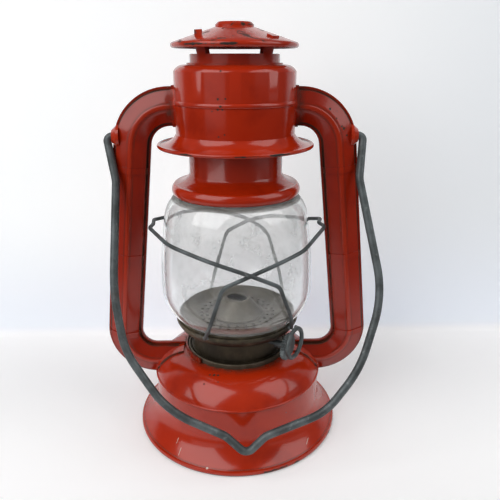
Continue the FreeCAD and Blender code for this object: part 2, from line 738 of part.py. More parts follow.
def crown():
    """Chimney crown: a rolled lip over the globe's top, a concave flare and a neck into the canopy."""
    lip_low = CROWN_SEAT_Z - CROWN_LIP_BELOW
    lip_in = GLOBE_TOP_R + LOOSE_FIT
    ledge = GLOBE_TOP_R - 2 * GLASS
    bore = CROWN_R - CROWN_SHEET
    lip_top = CROWN_SEAT_Z + 2 * CROWN_SHEET
    flare_mid = (CROWN_R + (GLOBE_TOP_R - CROWN_R) * CROWN_FLARE[0],
                 lip_top + (CROWN_NECK_Z - lip_top) * CROWN_FLARE[1])
    return turned((lip_in, lip_low), (
        (CROWN_LIP_R - CROWN_SHEET, lip_low),
        ((CROWN_LIP_R, CROWN_SEAT_Z - CROWN_LIP_BELOW / 3), (GLOBE_TOP_R + CROWN_SHEET, lip_top)),
        (flare_mid, (CROWN_R, CROWN_NECK_Z)), (CROWN_R, CROWN_TOP_Z), (bore, CROWN_TOP_Z),
        (bore, CROWN_NECK_Z), (ledge, CROWN_SEAT_Z), (lip_in, CROWN_SEAT_Z)))


def guard_hook_x(height):
    """How far out a guard wire reaches beside the tube's seam lip, with room for the lift."""
    spot, down = tube_leg_spot(height + LIFT)
    side = (TUBE_W / 2 + TUBE_LIP) / -down.z
    clear = spot.x - side - GUARD_WIRE_R - LOOSE_FIT
    return clear - GUARD_WIRE_R / 2, clear + TUBE_LIP


def guard_wire(foot_az, bend_az, side_az, side_z, outward, drawn):
    """One wire: front foot, up and across the front, hooked at one side, and the same down the rear."""
    sign = 1 if side_az > GUARD_CROSS_AZ else -1
    notch_x, hook_x = guard_hook_x(GUARD_HOOK_Z)
    cross_r = GUARD_R + outward
    front = [
        polar(FOOT_R, foot_az, FOOT_Z),
        polar(GUARD_R - GUARD_STANDOFF / 2, foot_az + (bend_az - foot_az) * GUARD_MID_TURN,
              FOOT_Z + (GUARD_BEND_Z - FOOT_Z) * GUARD_MID),
        polar(cross_r, bend_az, GUARD_BEND_Z),
        polar(cross_r, GUARD_CROSS_AZ, GUARD_CROSS_Z),
        polar(GUARD_R, (GUARD_CROSS_AZ + side_az) / 2, (GUARD_CROSS_Z + 2 * side_z) / 3),
        polar(GUARD_R, side_az, side_z),
        V(sign * (hook_x - drawn), -GUARD_HOOK_Y, GUARD_HOOK_Z)]
    rear = [V(point.x, -point.y, point.z) for point in reversed(front)]
    points = front + [V(sign * notch_x, 0, GUARD_HOOK_Z)] + rear
    return rod(points, GUARD_BENDS + (GUARD_NOTCH_BEND,) + GUARD_BENDS[::-1], GUARD_WIRE_R)


def lift_ring():
    """Finger ring: a wire stem off the right front foot of the guard, bent square and round into a loop."""
    normal = polar(1, RING_AZ, 0)
    level = polar(1, RING_AZ + 90, 0)
    foot = polar(FOOT_R, GUARD_FOOT_AZ[1], FOOT_Z + RING_WIRE_R)
    rim = foot + normal * RING_STANDOFF
    side = 360.0 / RING_SIDES
    turn = math.radians(RING_ANGLE)
    out = level * math.sin(turn) + Z_AXIS * math.cos(turn)
    ahead = level * math.cos(turn) - Z_AXIS * math.sin(turn)
    centre = rim - out * RING_R + ahead * RING_BEND
    corner_r = RING_R / math.cos(math.radians(side / 2))
    points = [foot + normal * (GUARD_WIRE_R + RING_WIRE_R), rim]
    for index in range(RING_SIDES):
        angle = math.radians(side * (index + 0.5))
        points.append(centre + (out * math.cos(angle) + ahead * math.sin(angle)) * corner_r)
    points.append(rim + ahead * (RING_BEND - RING_WIRE_R))
    return rod(points, [RING_BEND] + [RING_R * RING_ROUND] * RING_SIDES, RING_WIRE_R)


# Burner and wick


def burner_placed(shape):
    """Turns a shape from the burner's own axes into its place."""
    return spun(shape, BURNER_TURN)


def flat_bar(length, width, low, high):
    """Upright bar of stadium section along the burner's own X axis."""
    run = length / 2 - width / 2
    bar = Part.makeBox(2 * run, width, high - low, V(-run, -width / 2, low))
    ends = [Part.makeCylinder(width / 2, high - low, V(side * run, 0, low)) for side in (-1, 1)]
    return joined(bar, *ends)


def burner_ring():
    """Ring that locks the burner to the land, with a round bead along its outer edge."""
    bead_r = BURNER_RING_R - BURNER_BEAD_W
    bead_z = LAND_Z + BURNER_BEAD
    return turned((BURNER_HOLE_R, LAND_Z), (
        (BURNER_RING_R, LAND_Z), (BURNER_RING_R, bead_z),
        ((BURNER_RING_R - BURNER_BEAD_W / 2, bead_z + BURNER_BEAD_W / 2), (bead_r, bead_z)),
        (bead_r, BURNER_FOOT_Z), (BURNER_HOLE_R, BURNER_FOOT_Z)))


def burner_body():
    """Burner drum: a wall with both edges turned in, a foot flange and the wick shaft's hole."""
    wall = turned_sheet(
        (BURNER_TOP_R, BURNER_TOP_Z),
        ((BURNER_R, BURNER_TOP_Z), (BURNER_R, BURNER_FOOT_Z), (BURNER_HOLE_R, BURNER_FOOT_Z)), -SHEET)
    hole = Part.makeCylinder(
        SHAFT_R + RUN_FIT, BURNER_R, V(BURNER_R / 2, -SHAFT_OFFSET, SHAFT_Z), X_AXIS)
    flange = ring(BURNER_R - SHEET / 2, BURNER_FLANGE_R, BURNER_FOOT_Z, BURNER_FOOT_Z + BURNER_FLANGE)
    return burner_placed(joined(wall, flange).cut(hole))


def sprocket_spots():
    """Positions of the two wick sprockets along the shaft."""
    spread = WICK_W / 4
    return (-spread, spread)


def wick_tube():
    """Flat tube for the wick, brazed into a round plate, with windows for the sprockets."""
    outer_w = WICK_W + 2 * (LOOSE_FIT + WICK_TUBE_WALL)
    outer_t = WICK_T + 2 * (LOOSE_FIT + WICK_TUBE_WALL)
    floor = BURNER_FOOT_Z + SHEET
    tube = flat_bar(outer_w, outer_t, WICK_TUBE_FOOT_Z, WICK_TUBE_TOP_Z)
    plate = Part.makeCylinder(BURNER_R - SHEET - LOOSE_FIT, SHEET, V(0, 0, floor))
    inside = flat_bar(
        WICK_W + 2 * LOOSE_FIT, WICK_T + 2 * LOOSE_FIT, WICK_TUBE_FOOT_Z, WICK_TUBE_TOP_Z)
    windows = []
    for spot in sprocket_spots():
        windows.append(Part.makeCylinder(
            SPROCKET_R + LOOSE_FIT, SPROCKET_T + 2 * LOOSE_FIT,
            V(spot - SPROCKET_T / 2 - LOOSE_FIT, -SHAFT_OFFSET, SHAFT_Z), X_AXIS))
    return burner_placed(joined(tube, plate).cut([inside] + windows))


def wick():
    """Flat woven wick from the oil up to the flame slot."""
    return burner_placed(flat_bar(WICK_W, WICK_T, WICK_FOOT_Z, WICK_TOP_Z))


def star(tips, tip_r, root_r, thickness, x):
    """Toothed disc square to the shaft, starting at an across position."""
    points = []
    for index in range(2 * tips):
        angle = math.pi * index / tips
        radius = tip_r if index % 2 == 0 else root_r
        points.append(V(x, -SHAFT_OFFSET + radius * math.cos(angle), SHAFT_Z + radius * math.sin(angle)))
    return Part.Face(Part.makePolygon(points + points[:1])).extrude(X_AXIS * thickness)


def shaft_bore():
    """Space taken by the shaft, for the holes of what is fixed on it."""
    return Part.makeCylinder(SHAFT_R, WHEEL_X + SHAFT_TAIL, V(-SHAFT_TAIL, -SHAFT_OFFSET, SHAFT_Z), X_AXIS)


def wick_shaft():
    """Shaft from beside the wick out through the burner's wall to the thumb wheel."""
    return burner_placed(shaft_bore())


def wick_sprockets():
    """Two spiked discs that feed the wick."""
    discs = []
    for spot in sprocket_spots():
        low = spot - SPROCKET_T / 2
        disc = star(SPROCKET_SPIKES, SPROCKET_R, SPROCKET_R - SPROCKET_ROOT, SPROCKET_T, low)
        discs.append(burner_placed(disc.cut(shaft_bore())))
    return Part.makeCompound(discs)


def wick_wheel():
    """Toothed thumb wheel with a hub on the shaft's outer end."""
    low = WHEEL_X - WHEEL_T / 2
    disc = star(WHEEL_TEETH, WHEEL_R, WHEEL_R - WHEEL_TOOTH, WHEEL_T, low)
    hub = Part.makeCylinder(
        WHEEL_HUB_R, WHEEL_HUB_LENGTH, V(low - WHEEL_HUB_LENGTH, -SHAFT_OFFSET, SHAFT_Z), X_AXIS)
    return burner_placed(joined(disc, hub).cut(shaft_bore()))


# Bail


def bail():
    """Wire handle: pins into both tubes, a drawn-in neck, and a hook notch low in its arc."""
    ear = bail_ear_face()
    pin = ear - BAIL_PIN
    knee = ear + BAIL_BEND + 2 * SEAT_GAP
    corners = ((-knee, 0, BAIL_BEND),) + BAIL_LEFT + (BAIL_NOTCH,) + BAIL_RIGHT + ((knee, 0, BAIL_BEND),)
    lean = math.radians(BAIL_LEAN)
    along = V(0, -math.sin(lean), -math.cos(lean))
    pivot = V(0, 0, BAIL_PIVOT_Z)
    points = [pivot + V(-pin, 0, 0)]
    points += [pivot + V(across, 0, 0) + along * reach for across, reach, bend in corners]
    points.append(pivot + V(pin, 0, 0))
    return rod(points, [corner[2] for corner in corners], BAIL_WIRE_R)


def assembly():
    """Every piece of the lantern by name."""
    nodes = {}
    nodes["fount_skirt"] = skirt()
    nodes["fount_shoulder"] = shoulder()
    nodes["fount_bottom"] = fount_bottom()
    nodes["filler_neck"] = filler_neck()
    nodes["cap_gasket"] = cap_gasket()
    nodes["filler_cap"] = filler_cap()
    block = tube_block()
    right = {
        "tube_front": tube_half(V(0, -1, 0)), "tube_rear": tube_half(V(0, 1, 0)),
        "tube_ferrule": tube_ferrule(block), "tube_saddle": tube_saddle(block), "bail_ear": bail_ear(block)}
    for name, shape in right.items():
        nodes["right_" + name] = shape
        nodes["left_" + name] = mirrored(shape)
    nodes["canopy"] = canopy(tube_bores())
    nodes["chimney_collar"] = chimney_collar()
    nodes["hood"] = hood()
    nodes["globe"] = globe()
    nodes["globe_plate"] = globe_plate()
    nodes["air_plate"] = air_plate()
    nodes["burner_cone"] = burner_cone()
    nodes["crown"] = crown()
    nodes["guard_wire_right"] = guard_wire(
        GUARD_FOOT_AZ[0], GUARD_BEND_AZ[0], GUARD_SIDE_AZ[1], GUARD_SIDE_Z[1], 0.0, GUARD_HOOK_DRAWN[1])
    nodes["guard_wire_left"] = guard_wire(
        GUARD_FOOT_AZ[1], GUARD_BEND_AZ[1], GUARD_SIDE_AZ[0], GUARD_SIDE_Z[0],
        2 * GUARD_WIRE_R + GUARD_CROSS_GAP, GUARD_HOOK_DRAWN[0])
    nodes["lift_ring"] = lift_ring()
    nodes["burner_ring"] = burner_ring()
    nodes["burner_body"] = burner_body()
    nodes["wick_tube"] = wick_tube()
    nodes["wick"] = wick()
    nodes["wick_shaft"] = wick_shaft()
    nodes["wick_sprockets"] = wick_sprockets()
    nodes["wick_wheel"] = wick_wheel()
    nodes["bail"] = bail()
    return nodes


os.makedirs("parts", exist_ok=True)
for node_name, node_shape in assembly().items():
    node_shape.exportStep(os.path.join("parts", node_name + ".step"))
    print(node_name, node_shape.isValid(), len(node_shape.Solids), round(node_shape.Volume, 1))
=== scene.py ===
"""Looks of a tubular kerosene lantern: worn red enamel, galvanised wire, tarnished burner, clear glass."""

import functools
import json
import math

import bpy
import numpy as np
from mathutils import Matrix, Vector


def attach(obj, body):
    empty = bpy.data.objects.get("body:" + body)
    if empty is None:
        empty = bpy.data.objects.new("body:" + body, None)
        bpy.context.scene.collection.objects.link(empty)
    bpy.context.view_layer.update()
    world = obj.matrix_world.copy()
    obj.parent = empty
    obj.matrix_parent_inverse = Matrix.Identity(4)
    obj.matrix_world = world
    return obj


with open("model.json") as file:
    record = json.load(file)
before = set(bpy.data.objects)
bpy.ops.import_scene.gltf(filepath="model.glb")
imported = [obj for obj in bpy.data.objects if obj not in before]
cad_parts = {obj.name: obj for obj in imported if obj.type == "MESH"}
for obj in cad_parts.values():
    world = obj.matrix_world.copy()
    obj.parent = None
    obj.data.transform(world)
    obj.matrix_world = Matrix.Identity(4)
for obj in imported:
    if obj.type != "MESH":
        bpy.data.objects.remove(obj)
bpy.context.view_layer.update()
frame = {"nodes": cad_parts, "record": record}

# Camera of the photograph: place in metres, angles in degrees, focal length in widths of the picture
CAMERA_PLACE = (0.0, -0.270, 0.1995)
CAMERA_PITCH = 19.8
CAMERA_YAW = 1.547
FOCAL_WIDTHS = 1.056
SENSOR = 36.0

# Colours, linear
RED = (0.39, 0.0200, 0.0025, 1.0)
RED_DEEP = (0.20, 0.0075, 0.0012, 1.0)
RED_FADED = (0.43, 0.030, 0.0065, 1.0)
BARE_STEEL = (0.030, 0.024, 0.020, 1.0)
RUST = (0.060, 0.021, 0.008, 1.0)
SHADE_AND_GRIME_BROWN = (0.050, 0.019, 0.009, 1.0)
PRIMER = (0.60, 0.50, 0.42, 1.0)
TINPLATE = (0.30, 0.285, 0.265, 1.0)
ZINC = (0.115, 0.132, 0.136, 1.0)
ZINC_DARK = (0.054, 0.061, 0.062, 1.0)
ZINC_LIGHT = (0.225, 0.245, 0.245, 1.0)
BRONZE = (0.064, 0.050, 0.029, 1.0)
BRONZE_DARK = (0.024, 0.018, 0.010, 1.0)
BRONZE_LIGHT = (0.150, 0.122, 0.083, 1.0)
PLATE = (0.120, 0.095, 0.060, 1.0)
TRAY = (0.155, 0.140, 0.116, 1.0)
TRAY_DARK = (0.075, 0.064, 0.048, 1.0)
TRAY_LIGHT = (0.330, 0.310, 0.275, 1.0)
RIM_METAL = (0.165, 0.132, 0.103, 1.0)
SOLDER = (0.200, 0.200, 0.190, 1.0)
COTTON = (0.50, 0.44, 0.33, 1.0)
CHAR = (0.018, 0.015, 0.012, 1.0)
CORK = (0.34, 0.20, 0.10, 1.0)
CORK_DARK = (0.14, 0.07, 0.03, 1.0)
GLASS_TINT = (0.985, 0.99, 0.985, 1.0)
GLASS_FILM = (0.87, 0.88, 0.89, 1.0)
GLASS_SOOT = (0.100, 0.094, 0.080, 1.0)
GLASS_SHADOW = (0.93, 0.94, 0.93, 1.0)
PAPER = (0.86, 0.86, 0.865, 1.0)
PAPER_SHADE = (0.83, 0.83, 0.84, 1.0)
DIM_FLOOR = (0.130, 0.130, 0.134, 1.0)
NO_GLOW = (0.0, 0.0, 0.0, 1.0)
WALL_GLOW = (0.27, 0.29, 0.29, 1.0)
WALL_GLOW_RIGHT = (0.12, 0.145, 0.165, 1.0)
WALL_GLOW_LOW = (0.10, 0.14, 0.20, 1.0)
FLOOR_GLOW = (0.08, 0.082, 0.086, 1.0)
FLOOR_GLOW_FRONT = (0.15, 0.15, 0.147, 1.0)
STUDIO_GREY = (0.15, 0.15, 0.154, 1.0)

# Edges that have lost paint: radius and height, in metres
BASE_RIM = (0.0568, 0.0015)
HOOD_RIM = (0.0305, 0.2061)
HOOD_BUTTON = (0.0092, 0.2150)
CANOPY_RIM = (0.0394, 0.1595)
CANOPY_SHOULDER = (0.0282, 0.1966)
CROWN_LIP = (0.0331, 0.1365)
# The same edges with the width of the worn band and its strength
WORN_EDGES = (
    (BASE_RIM, 0.0024, 1.0), (HOOD_RIM, 0.0018, 0.9), (HOOD_BUTTON, 0.0015, 1.0),
    (CANOPY_RIM, 0.0014, 0.9), (CANOPY_SHOULDER, 0.0013, 0.6), (CROWN_LIP, 0.0013, 0.5))
# Scuffs lie on the hood, above this height
HOOD_FACE = (0.2062, 0.2072)

# Dark lines along grooves, the one under the shoulder's step painted shade: radius and height, then the width
# and strength of each line
BASE_GROOVE = (0.0556, 0.0034)
STEP_GROOVE = (0.0467, 0.0313)
COLLAR_FOOT = (0.0238, 0.1978)
DARK_GROOVE_LINES = ((BASE_GROOVE, 0.0007, 0.7), (STEP_GROOVE, 0.0006, 0.7), (COLLAR_FOOT, 0.0009, 0.7))

# Other dirt, and painted shade under the base rim and along the saddles: the two ends of the smooth step at
# each side of a patch
FERRULE_INNER = (0.0296, 0.0304)
FERRULE_OUTER = (0.0325, 0.0350)
FERRULE_LOW = (0.166, 0.168)
FERRULE_HIGH = (0.189, 0.191)
BURNER_SEAT = (0.0275, 0.0335)
BURNER_SEAT_LOW = (0.036, 0.040)
BURNER_SEAT_HIGH = (0.048, 0.050)
UNDERSIDE = (0.0535, 0.0550)
UNDERSIDE_HIGH = (0.0005, 0.0015)
SADDLE_HALF = 0.0093
SADDLE_LINE = (0.0001, 0.0007)
SADDLE_INNER = (0.029, 0.031)
SADDLE_LOW = (0.031, 0.033)
SADDLE_HIGH = (0.047, 0.048)

# Slope of the hood: the radius and height where its top begins, and its fall; then its bare underside
HOOD_SLOPE = (0.0092, 0.2142, 0.330)
HOOD_SKIN = (0.0003, 0.0006)
HOOD_HEM = (0.0286, 0.0292)

# Side tubes: how far out their lips are worn, and half the width of the worn line
TUBE_LIP_X = (0.0400, 0.0440)
TUBE_LIP = 0.0008
# Centreline of a side tube: the two ends of its leg, each x and z, and the radii of its two bends
TUBE_LEG = ((0.0499, 0.1780), (0.0652, 0.0375))
TUBE_BENDS = (0.0195, 0.0175)
# Across a side tube: edge of its crest bead, painted shade line beside the bead, painted shade line beside
# the lips
CREST_BEAD = (0.0007, 0.0013)
CREST_FOOT = 0.0017
CREST_SHADE_LINE = (0.0001, 0.0006)
LIP_FOOT = 0.0080
LIP_SHADE_LINE = (0.0002, 0.0008)

# Globe: steps in height of the soot at its mouth and the dust at its foot and top, and in depth at its rear,
# where the film is partly painted reflection
GLOBE_MOUTH = (0.1318, 0.1326)
GLOBE_FOOT = (0.0670, 0.0760)
GLOBE_TOP = (0.1200, 0.1310)
GLOBE_REAR = (0.004, 0.016)

# Charred top edge of the wick, and how uneven it is
WICK_CHAR = (0.0708, 0.0728)
WICK_UNEVEN = 0.0015

# Filler: foot of its neck and the neck's tilt to the rear, in degrees
FILLER_FOOT = (0.0, 0.0414, 0.0398)
FILLER_TILT = 36.0

# Feet of the guard: angles from the right, in degrees, radius and height
GUARD_FEET = (-118.0, -35.4, 35.4, 118.0)
GUARD_FOOT_RADIUS = 0.0345
GUARD_FOOT_HEIGHT = 0.0655
# Half sizes of a lump of solder: outwards, along the rim and upwards
SOLDER_LUMP = (0.0011, 0.0019, 0.0010)

# Shading of the solids: gap that is welded, in metres, and the angle that counts as an edge, in degrees
WELD_GAP = 1e-6
EDGE_ANGLE = 30.0

# Stage: the paper's middle and the radii over which it fades, and the steps of its shading
PAPER_MIDDLE_Y = 0.12
PAPER_FADE = (0.24, 0.42)
WALL_SLANT = 0.25
WALL_RIGHT = (-0.05, 0.17)
WALL_LOW = (0.0, 0.11)
WALL_FOOT = (0.0, 0.008)
FLOOR_FRONT = (-0.06, 0.06)
FLOOR_RADIUS = 2.4

# Lamp panels: name, azimuth and elevation in degrees, width and height in metres, power in watts
PANELS = (
    ("left_panel", -50.0, 40.0, 0.75, 0.92, 6.4),
    ("left_low_panel", -37.0, 4.0, 0.60, 0.17, 0.20),
    ("right_panel", 70.0, 40.0, 0.55, 0.80, 3.2),
    ("right_low_panel", 61.0, 7.0, 0.80, 0.10, 0.09))
PANEL_DISTANCE = 0.85
PANEL_AIM = (0.0, 0.0, 0.10)

# Chips down to the metal: place and size
CHIPS = (
    (-0.0077, -0.0288, 0.1832, 0.0006), (-0.0043, -0.0295, 0.1834, 0.0005),
    (-0.0065, -0.0297, 0.1801, 0.0007), (-0.0078, -0.0288, 0.1788, 0.0006),
    (-0.0104, -0.0279, 0.1779, 0.0004), (-0.0057, -0.0293, 0.1788, 0.0005),
    (-0.0062, -0.0288, 0.1950, 0.0005), (-0.0076, -0.0288, 0.1668, 0.0005),
    (-0.0050, -0.0294, 0.1678, 0.0004), (-0.0145, -0.0309, 0.0440, 0.0006),
    (-0.0124, -0.0314, 0.0441, 0.0009), (-0.0103, -0.0318, 0.0442, 0.0007),
    (-0.0175, -0.0353, 0.0413, 0.0005), (-0.0102, -0.0358, 0.0427, 0.0004),
    (0.0463, -0.0049, 0.1769, 0.0007), (0.0497, -0.0053, 0.1724, 0.0005),
    (0.0537, -0.0049, 0.1674, 0.0009), (0.0526, -0.0051, 0.1685, 0.0006),
    (0.0555, -0.0046, 0.1641, 0.0006), (0.0039, -0.0083, 0.2151, 0.0011),
    (0.0126, -0.0085, 0.2122, 0.0013))
# Pale scratches down to the primer, each by its two ends
SCRATCHES = (
    ((-0.0330, -0.0389, 0.0072), (-0.0319, -0.0376, 0.0094)),
    ((-0.0315, -0.0443, 0.0040), (-0.0303, -0.0418, 0.0064)),
    ((0.0367, -0.0387, 0.0048), (0.0379, -0.0355, 0.0061)))
# Pale spot on the base rim: place and size
PALE_SPOT = (-0.0161, -0.0534, 0.0030, 0.0007)


class Term:
    """A value inside a shader: operators on terms and numbers add Math nodes."""

    def __init__(self, graph, socket):
        self.graph = graph
        self.socket = socket

    def math(self, operation, first, second=0.0):
        """One Math node on two values."""
        return self.graph.node("ShaderNodeMath", {"operation": operation}, {0: first, 1: second})

    def __add__(self, other):
        return self.math("ADD", self, other)

    __radd__ = __add__

    def __sub__(self, other):
        return self.math("SUBTRACT", self, other)

    def __rsub__(self, other):
        return self.math("SUBTRACT", other, self)

    def __mul__(self, other):
        return self.math("MULTIPLY", self, other)

    __rmul__ = __mul__

    def __truediv__(self, other):
        return self.math("DIVIDE", self, other)

    def __pow__(self, other):
        return self.math("POWER", self, other)

    def __abs__(self):
        return self.math("ABSOLUTE", self)

    def most(self, other):
        return self.math("MAXIMUM", self, other)

    def least(self, other):
        return self.math("MINIMUM", self, other)

    def sine(self):
        return self.math("SINE", self)

    def rise(self, low, high):
        """0 below low, 1 above high, a smooth step between."""
        return self.graph.node(
            "ShaderNodeMapRange", {"interpolation_type": "SMOOTHSTEP"},
            {"Value": self, "From Min": low, "From Max": high})

    def fall(self, low, high):
        """1 below low, 0 above high."""
        return 1 - self.rise(low, high)


class Graph:
    """One material: every node comes from node(), which sets its settings first and its sockets after."""

    def __init__(self, name):
        self.material = bpy.data.materials.new(name)
        self.material.use_nodes = True
        self.tree = self.material.node_tree
        self.tree.nodes.clear()
        self.place = self.node("ShaderNodeTexCoord", out="Object")

    def node(self, kind, settings=None, sockets=None, out=0):
        """Adds a node and gives one of its outputs."""
        made = self.tree.nodes.new(kind)
        for key, value in (settings or {}).items():
            setattr(made, key, value)
        for key, value in (sockets or {}).items():
            if isinstance(value, Term):
                self.tree.links.new(value.socket, made.inputs[key])
            else:
                made.inputs[key].default_value = value
        return Term(self, made.outputs[out])

    def vector(self, operation, first, second=(0.0, 0.0, 0.0), out="Vector"):
        """One Vector Math node on two vectors."""
        return self.node("ShaderNodeVectorMath", {"operation": operation}, {0: first, 1: second}, out)

    def axes(self):
        """The three coordinates and the distance from the lantern's axis, in metres."""
        split = [self.node("ShaderNodeSeparateXYZ", None, {0: self.place}, out) for out in "XYZ"]
        across = self.vector("MULTIPLY", self.place, (1.0, 1.0, 0.0))
        return (*split, self.vector("LENGTH", across, out="Value"))

    def away(self, spot):
        """Distance from a fixed point, counted in sizes of the spot."""
        return self.vector("DISTANCE", self.place, spot[:3], "Value") / spot[3]

    def from_line(self, start, end):
        """Distance from a short straight line between two fixed points, in metres."""
        along = tuple(b - a for a, b in zip(start, end))
        offset = self.vector("SUBTRACT", self.place, start)
        share = self.vector("DOT_PRODUCT", offset, along, "Value") / sum(step * step for step in along)
        share = share.most(0.0).least(1.0)
        reached = self.node("ShaderNodeVectorMath", {"operation": "SCALE"}, {0: along, "Scale": share})
        return self.vector("DISTANCE", offset, reached, "Value")

    def noise(self, scale, detail=3.0, rough=0.55, stretch=None, warp=0.0):
        """Fractal noise from 0 to 1, stretched along an axis if asked."""
        spot = self.place
        if stretch:
            spot = self.node("ShaderNodeMapping", None, {"Vector": self.place, "Scale": stretch})
        return self.node("ShaderNodeTexNoise", None, {
            "Vector": spot, "Scale": scale, "Detail": detail, "Roughness": rough, "Distortion": warp})

    def cells(self, scale):
        """Distance to the nearest scattered point."""
        return self.node("ShaderNodeTexVoronoi", None, {"Vector": self.place, "Scale": scale}, "Distance")

    def mix(self, share, first, second):
        """Colour between two, the second where the share is 1."""
        return self.node("ShaderNodeMix", {"data_type": "RGBA"}, {0: share, 6: first, 7: second}, 2)

    def blend(self, share, first, second):
        """Shader between two, the second where the share is 1."""
        return self.node("ShaderNodeMixShader", None, {0: share, 1: first, 2: second})

    def bump(self, height, depth, strength):
        """Normal of a surface raised by the height times the depth, in metres."""
        sockets = {"Height": height, "Distance": depth, "Strength": strength}
        return self.node("ShaderNodeBump", None, sockets)

    def principled(self, **sockets):
        """Principled shader: a socket's name is written with underscores for its spaces."""
        return self.node("ShaderNodeBsdfPrincipled", None, {
            key.replace("_", " "): value for key, value in sockets.items()})

    def finish(self, shader):
        """Puts the shader on the material's output and gives the material."""
        output = self.tree.nodes.new("ShaderNodeOutputMaterial")
        self.tree.links.new(shader.socket, output.inputs["Surface"])
        return self.material


def ring_band(radius, height, spot, width):
    """1 on a circle of that radius and height, falling smoothly to 0 at the width."""
    away = ((radius - spot[0]) ** 2.0 + (height - spot[1]) ** 2.0) ** 0.5
    return away.fall(0.0, width)


def ring_bands(radius, height, rings):
    """The strongest of several ring bands, each a spot, a width and a strength."""
    bands = [ring_band(radius, height, spot, width) * strength for spot, width, strength in rings]
    return functools.reduce(Term.most, bands)


def tube_across(x, z):
    """Distance outwards from a side tube's centreline: three straight runs, with an arc at both bends."""
    (top_x, top_z), (foot_x, foot_z) = TUBE_LEG
    length = math.hypot(foot_x - top_x, foot_z - top_z)
    out_x, out_z = (top_z - foot_z) / length, (foot_x - top_x) / length
    leg = (abs(x) - top_x) * out_x + (z - top_z) * out_z
    across = leg.most(z - top_z).most(foot_z - z)
    for up, level, bend in ((1.0, top_z, TUBE_BENDS[0]), (-1.0, foot_z, TUBE_BENDS[1])):
        rise, over, lean = (z - level) * up + bend, leg + bend, out_z * up
        square = (rise * rise + over * over - rise * over * (2 * lean)) / (1 - lean * lean)
        inside = (rise - over * lean).least(over - rise * lean).rise(0.0, 0.0001)
        across = across + inside * (square.most(0.0) ** 0.5 - bend - across)
    return across


def paint_wear(g, x, y, z, radius, fine):
    """Share of bare metal: rims rubbed in patches, scuffs on the hood and single chips."""
    lips = abs(y).fall(0.0, TUBE_LIP) * abs(x).rise(*TUBE_LIP_X)
    rims = ring_bands(radius, z, WORN_EDGES).most(lips * 0.8)
    patch = g.noise(46.0, 3.0).rise(0.50, 0.62)
    worn = (rims * (patch * 0.34 + 0.24) + fine * 0.55 + g.noise(70.0) * 0.40).rise(0.86, 0.95)
    scuffs = g.noise(95.0, 4.0, 0.6, warp=0.8).rise(0.57, 0.63) * z.rise(*HOOD_FACE)
    near = functools.reduce(Term.least, [g.away(chip) for chip in CHIPS])
    chips = (near + g.noise(1400.0, 2.0) * 1.4).fall(1.45, 1.65)
    specks = g.cells(85.0).fall(0.030, 0.050) * g.noise(31.0, 1.0).rise(0.55, 0.60)
    return worn.most(scuffs * 0.85).most(chips).most(specks * 0.8)


def paint_grime_and_shade(g, x, y, z, radius, fine):
    """Share of brown dirt at tube ends and burner, dark groove lines, and painted shade at saddles, step and
    base rim.
    """
    ends = g.noise(60.0, 3.0).rise(0.38, 0.62)
    ferrule = abs(x).rise(*FERRULE_INNER) * abs(x).fall(*FERRULE_OUTER) * z.rise(*FERRULE_LOW)
    ferrule = ferrule * z.fall(*FERRULE_HIGH) * (ends * 0.5 + 0.25)
    burner = radius.fall(*BURNER_SEAT) * z.rise(*BURNER_SEAT_LOW) * z.fall(*BURNER_SEAT_HIGH)
    # Painted shade: a dark band under the base rim, where it meets the floor
    under = radius.rise(*UNDERSIDE) * z.fall(*UNDERSIDE_HIGH)
    # Painted shade: a dark line along each edge of the tube saddles, where they sit on the shoulder
    saddle = abs(abs(y) - SADDLE_HALF).fall(*SADDLE_LINE) * abs(x).rise(*SADDLE_INNER)
    saddle = saddle * z.fall(*SADDLE_HIGH) * z.rise(*SADDLE_LOW)
    # This share holds painted shade as well as dirt
    dirt = ferrule.most(burner * 0.85).most(under * 0.95).most(saddle * 0.9)
    # Dark lines along the grooves; the line under the shoulder's step is painted shade
    dirt = dirt.most(ring_bands(radius, z, DARK_GROOVE_LINES))
    return dirt * fine.rise(0.30, 0.55).most(0.45)


